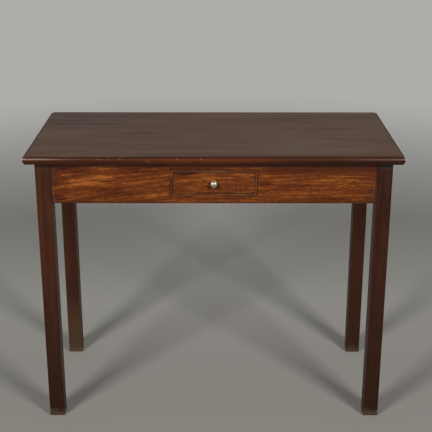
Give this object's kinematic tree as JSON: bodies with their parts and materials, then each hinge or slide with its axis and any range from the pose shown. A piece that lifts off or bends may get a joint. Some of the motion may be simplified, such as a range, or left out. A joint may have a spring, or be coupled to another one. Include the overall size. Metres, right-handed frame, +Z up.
{
  "type": "tavern table",
  "caption": "Rectangular wooden tavern table with straight square legs, a moulded top and a small beaded drawer with a domed metal knob in the frieze.",
  "frame": {"origin": "on the floor, under the middle of the top", "axes": "+X along the front to the viewer's right, +Y from the front to the rear, +Z up"},
  "size_m": [0.941, 0.47, 0.74],
  "materials": {
    "mahogany_top": "satin polish, dark",
    "mahogany_leg": "satin polish, dark",
    "mahogany_frieze": "satin polish, figured",
    "mahogany_rail": "satin polish",
    "secondary_wood": "bare, aged",
    "polished_nickel": "polished, worn",
    "iron": "dull, aged"
  },
  "bodies": {
    "table": {"tabletop": "mahogany_top", "leg_front_left": "mahogany_leg", "leg_front_right": "mahogany_leg", "leg_rear_left": "mahogany_leg", "leg_rear_right": "mahogany_leg", "front_frieze": "mahogany_frieze", "rear_rail": "mahogany_rail", "end_rail_left": "mahogany_rail", "end_rail_right": "mahogany_rail", "drawer_runner_left": "secondary_wood", "drawer_runner_right": "secondary_wood", "drawer_guide_left": "secondary_wood", "drawer_guide_right": "secondary_wood", "drawer_kicker_left": "secondary_wood", "drawer_kicker_right": "secondary_wood", "drawer_stop_left": "secondary_wood", "drawer_stop_right": "secondary_wood", "glue_block_front_left": "secondary_wood", "glue_block_front_right": "secondary_wood", "glue_block_rear_left": "secondary_wood", "glue_block_rear_right": "secondary_wood", "glue_block_left": "secondary_wood", "glue_block_right": "secondary_wood", "top_screws": "iron"},
    "drawer": {"drawer_front": "mahogany_frieze", "cock_bead_top": "mahogany_frieze", "cock_bead_bottom": "mahogany_frieze", "cock_bead_left": "mahogany_frieze", "cock_bead_right": "mahogany_frieze", "drawer_side_left": "secondary_wood", "drawer_side_right": "secondary_wood", "drawer_back": "secondary_wood", "drawer_bottom": "secondary_wood", "drawer_bottom_nails": "iron", "knob": "polished_nickel", "knob_washer": "iron", "knob_nut": "iron"}
  },
  "joints": [
    {"name": "drawer_slide", "type": "slide", "parent": "table", "child": "drawer", "axis": [0, -1, 0], "range_m": [0, 0.26]}
  ]
}
